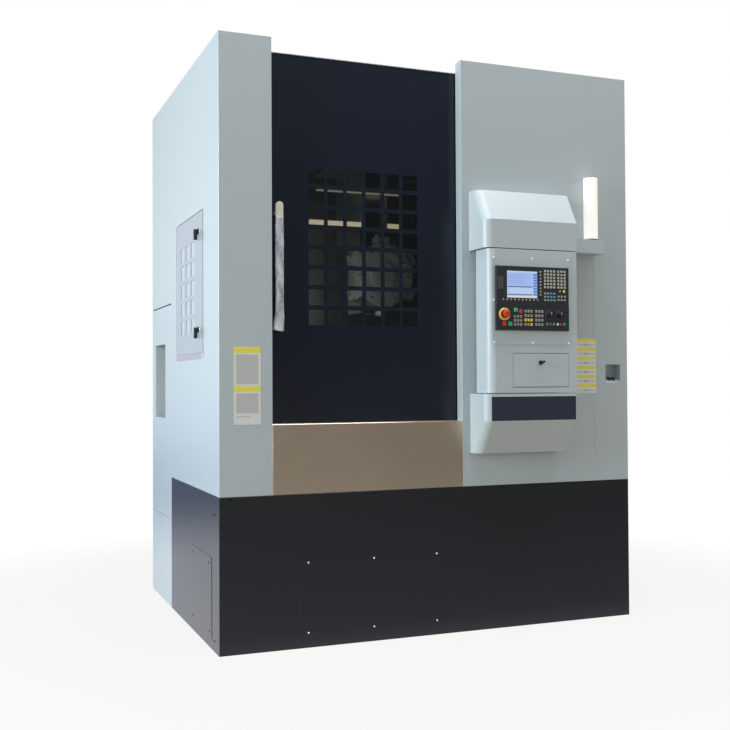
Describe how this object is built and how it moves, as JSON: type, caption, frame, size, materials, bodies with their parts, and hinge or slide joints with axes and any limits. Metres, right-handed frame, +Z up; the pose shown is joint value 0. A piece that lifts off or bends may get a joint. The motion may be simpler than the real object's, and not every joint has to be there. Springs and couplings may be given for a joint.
{
  "type": "vertical turning lathe",
  "caption": "Vertical turning lathe in a sheet-metal enclosure with a sliding grille door, swivelling operator pendant, chuck spindle, tool turret and rear cabinet",
  "frame": {"origin": "On the floor, under the middle of the overall box of the machine with its operator pendant.", "axes": "+X points right along the front face, +Y from the front to the back, +Z up."},
  "size_m": [2.263, 1.924, 2.85],
  "materials": {
    "enclosure_paint": "satin light grey powder coat",
    "plinth_paint": "satin black powder coat",
    "door_paint": "gloss navy paint",
    "pendant_paint": "satin silver grey paint",
    "stainless": "brushed stainless sheet",
    "casting": "machined and painted iron",
    "slide_steel": "ground steel",
    "chuck_steel": "turned steel",
    "screw_chrome": "hardened and ground",
    "motor_paint": "matt dark paint",
    "belt_rubber": "ribbed belt rubber",
    "door_glass": "laminated safety glass",
    "lamp_white": "translucent white",
    "light_white": "lit diffuser",
    "handle_steel": "brushed stainless bar",
    "latch_black": "black moulded",
    "control_plastic": "near-black moulded bezel",
    "stop_red": "red moulded",
    "start_green": "green moulded",
    "knob_black": "black moulded",
    "roller_steel": "turned steel",
    "lube_plastic": "translucent tank with orange cap",
    "drive_grey": "dark grey drive modules"
  },
  "bodies": {
    "machine": {"base_casting": "casting", "levelling_pads": "casting", "column_casting": "casting", "spindle_housing": "casting", "spindle_motor": "motor_paint", "drive_belt": "belt_rubber", "inner_guards": "stainless", "drive_rack": "drive_grey", "door_header": "stainless", "plinth_front": "plinth_paint", "plinth_sides": "plinth_paint", "service_covers": "plinth_paint", "left_column_cover": "enclosure_paint", "left_side_panel": "enclosure_paint", "rear_left_panels": "enclosure_paint", "lube_unit": "lube_plastic", "apron": "stainless", "right_front_panel": "enclosure_paint", "right_end_panel": "enclosure_paint", "right_side_panel": "enclosure_paint", "roof_panel": "enclosure_paint", "rear_panel": "enclosure_paint", "upper_hood": "pendant_paint", "lower_hood": "pendant_paint", "signal_lamp": "lamp_white"},
    "saddle": {"x_saddle": "casting", "work_lights": "light_white"},
    "x_screw": {"x_ball_screw": "screw_chrome"},
    "ram": {"z_ram": "slide_steel", "turret_head": "casting"},
    "z_screw": {"z_ball_screw": "screw_chrome"},
    "turret": {"turret_disc": "chuck_steel", "tool_holders": "slide_steel"},
    "spindle": {"spindle": "slide_steel", "chuck_body": "chuck_steel"},
    "jaw_1": {"chuck_jaw_1": "chuck_steel"},
    "jaw_2": {"chuck_jaw_2": "chuck_steel"},
    "jaw_3": {"chuck_jaw_3": "chuck_steel"},
    "motor_pulley": {"motor_pulley": "slide_steel"},
    "front_door": {"front_door": "door_paint", "door_glass": "door_glass", "door_handle": "handle_steel"},
    "roller_left": {"roller_left": "roller_steel"},
    "roller_right": {"roller_right": "roller_steel"},
    "side_door": {"side_door": "enclosure_paint", "side_door_glass": "door_glass"},
    "side_latch_upper": {"side_latch_upper": "latch_black"},
    "side_latch_lower": {"side_latch_lower": "latch_black"},
    "operator_box": {"operator_box": "pendant_paint", "screen_unit": "control_plastic", "machine_panel": "control_plastic"},
    "estop": {"estop_button": "stop_red"},
    "feed_knob": {"feed_knob": "knob_black"},
    "speed_knob": {"speed_knob": "knob_black"},
    "stop_button": {"stop_button": "stop_red"},
    "start_button": {"start_button": "start_green"},
    "flap": {"flap_door": "pendant_paint"},
    "flap_latch": {"flap_latch": "latch_black"},
    "cabinet_door": {"cabinet_door": "enclosure_paint"},
    "cabinet_latch": {"cabinet_latch": "latch_black"}
  },
  "joints": [
    {"name": "x_feed", "type": "slide", "parent": "machine", "child": "saddle", "axis": [1, 0, 0], "range_m": [-0.28, 0.15]},
    {"name": "x_screw_turn", "type": "hinge", "parent": "machine", "child": "x_screw", "pos_m": [0, 0.28, 2.6], "axis": [1, 0, 0], "range_deg": [-5100, 2750]},
    {"name": "z_feed", "type": "slide", "parent": "saddle", "child": "ram", "axis": [0, 0, 1], "range_m": [-0.45, 0.05]},
    {"name": "z_screw_turn", "type": "hinge", "parent": "saddle", "child": "z_screw", "pos_m": [-0.094, 0.175, 2.4], "axis": [0, 0, 1], "range_deg": [-10200, 1150]},
    {"name": "turret_index", "type": "hinge", "parent": "ram", "child": "turret", "pos_m": [-0.094, -0.223, 1.81], "axis": [0, 1, 0], "continuous": true},
    {"name": "spindle_turn", "type": "hinge", "parent": "machine", "child": "spindle", "pos_m": [-0.364, -0.223, 0.9], "axis": [0, 0, 1], "continuous": true},
    {"name": "motor_turn", "type": "hinge", "parent": "machine", "child": "motor_pulley", "pos_m": [0.5925, -0.223, 0.4], "axis": [0, 0, 1], "continuous": true},
    {"name": "jaw_1_stroke", "type": "slide", "parent": "spindle", "child": "jaw_1", "axis": [0, 1, 0], "range_m": [-0.009, 0.009]},
    {"name": "jaw_2_stroke", "type": "slide", "parent": "spindle", "child": "jaw_2", "axis": [-0.866, -0.5, 0], "range_m": [-0.009, 0.009]},
    {"name": "jaw_3_stroke", "type": "slide", "parent": "spindle", "child": "jaw_3", "axis": [0.866, -0.5, 0], "range_m": [-0.009, 0.009]},
    {"name": "front_door_slide", "type": "slide", "parent": "machine", "child": "front_door", "axis": [1, 0, 0], "range_m": [0, 0.88]},
    {"name": "roller_left_turn", "type": "hinge", "parent": "front_door", "child": "roller_left", "pos_m": [-0.6925, -0.644, 2.7203], "axis": [0, 1, 0], "range_deg": [-5, 1690]},
    {"name": "roller_right_turn", "type": "hinge", "parent": "front_door", "child": "roller_right", "pos_m": [0.0285, -0.644, 2.7203], "axis": [0, 1, 0], "range_deg": [-5, 1690]},
    {"name": "side_door_swing", "type": "hinge", "parent": "machine", "child": "side_door", "pos_m": [-1.0975, 0.209, 1.73], "axis": [0, 0, -1], "range_deg": [0, 100]},
    {"name": "side_latch_upper_turn", "type": "hinge", "parent": "side_door", "child": "side_latch_upper", "pos_m": [-1.1075, -0.328, 1.985], "axis": [1, 0, 0], "range_deg": [0, 90]},
    {"name": "side_latch_lower_turn", "type": "hinge", "parent": "side_door", "child": "side_latch_lower", "pos_m": [-1.1075, -0.328, 1.5], "axis": [1, 0, 0], "range_deg": [0, 90]},
    {"name": "operator_box_swivel", "type": "hinge", "parent": "machine", "child": "operator_box", "pos_m": [0.2315, -0.801, 1.536], "axis": [0, 0, -1], "range_deg": [0, 60]},
    {"name": "estop_push", "type": "slide", "parent": "operator_box", "child": "estop", "axis": [0, 1, 0], "range_m": [0, 0.005]},
    {"name": "feed_knob_turn", "type": "hinge", "parent": "operator_box", "child": "feed_knob", "pos_m": [0.5155, -0.93, 1.567], "axis": [0, -1, 0], "range_deg": [-150, 150]},
    {"name": "speed_knob_turn", "type": "hinge", "parent": "operator_box", "child": "speed_knob", "pos_m": [0.5735, -0.93, 1.567], "axis": [0, -1, 0], "range_deg": [-150, 150]},
    {"name": "stop_button_push", "type": "slide", "parent": "operator_box", "child": "stop_button", "axis": [0, 1, 0], "range_m": [0, 0.0025], "stiffness_N_per_m": 400},
    {"name": "start_button_push", "type": "slide", "parent": "operator_box", "child": "start_button", "axis": [0, 1, 0], "range_m": [0, 0.0025], "stiffness_N_per_m": 400},
    {"name": "flap_swing", "type": "hinge", "parent": "operator_box", "child": "flap", "pos_m": [0.4755, -0.912, 1.217], "axis": [1, 0, 0], "range_deg": [0, 90]},
    {"name": "flap_latch_turn", "type": "hinge", "parent": "flap", "child": "flap_latch", "pos_m": [0.4725, -0.918, 1.331], "axis": [0, -1, 0], "range_deg": [0, 90]},
    {"name": "cabinet_door_swing", "type": "hinge", "parent": "machine", "child": "cabinet_door", "pos_m": [1.0975, 0.472, 1.75], "axis": [0, 0, 1], "range_deg": [0, 100]},
    {"name": "cabinet_latch_turn", "type": "hinge", "parent": "cabinet_door", "child": "cabinet_latch", "pos_m": [1.1075, -0.338, 1.45], "axis": [1, 0, 0], "range_deg": [0, 90]}
  ],
  "couplings": [
    {"joint": "x_screw_turn", "follows": "x_feed", "rad_per_m": 314.16},
    {"joint": "z_screw_turn", "follows": "z_feed", "rad_per_m": 392.7},
    {"joint": "motor_turn", "follows": "spindle_turn", "ratio": 2},
    {"joint": "jaw_2_stroke", "follows": "jaw_1_stroke", "ratio": 1},
    {"joint": "jaw_3_stroke", "follows": "jaw_1_stroke", "ratio": 1},
    {"joint": "roller_left_turn", "follows": "front_door_slide", "rad_per_m": 33.333},
    {"joint": "roller_right_turn", "follows": "front_door_slide", "rad_per_m": 33.333}
  ]
}
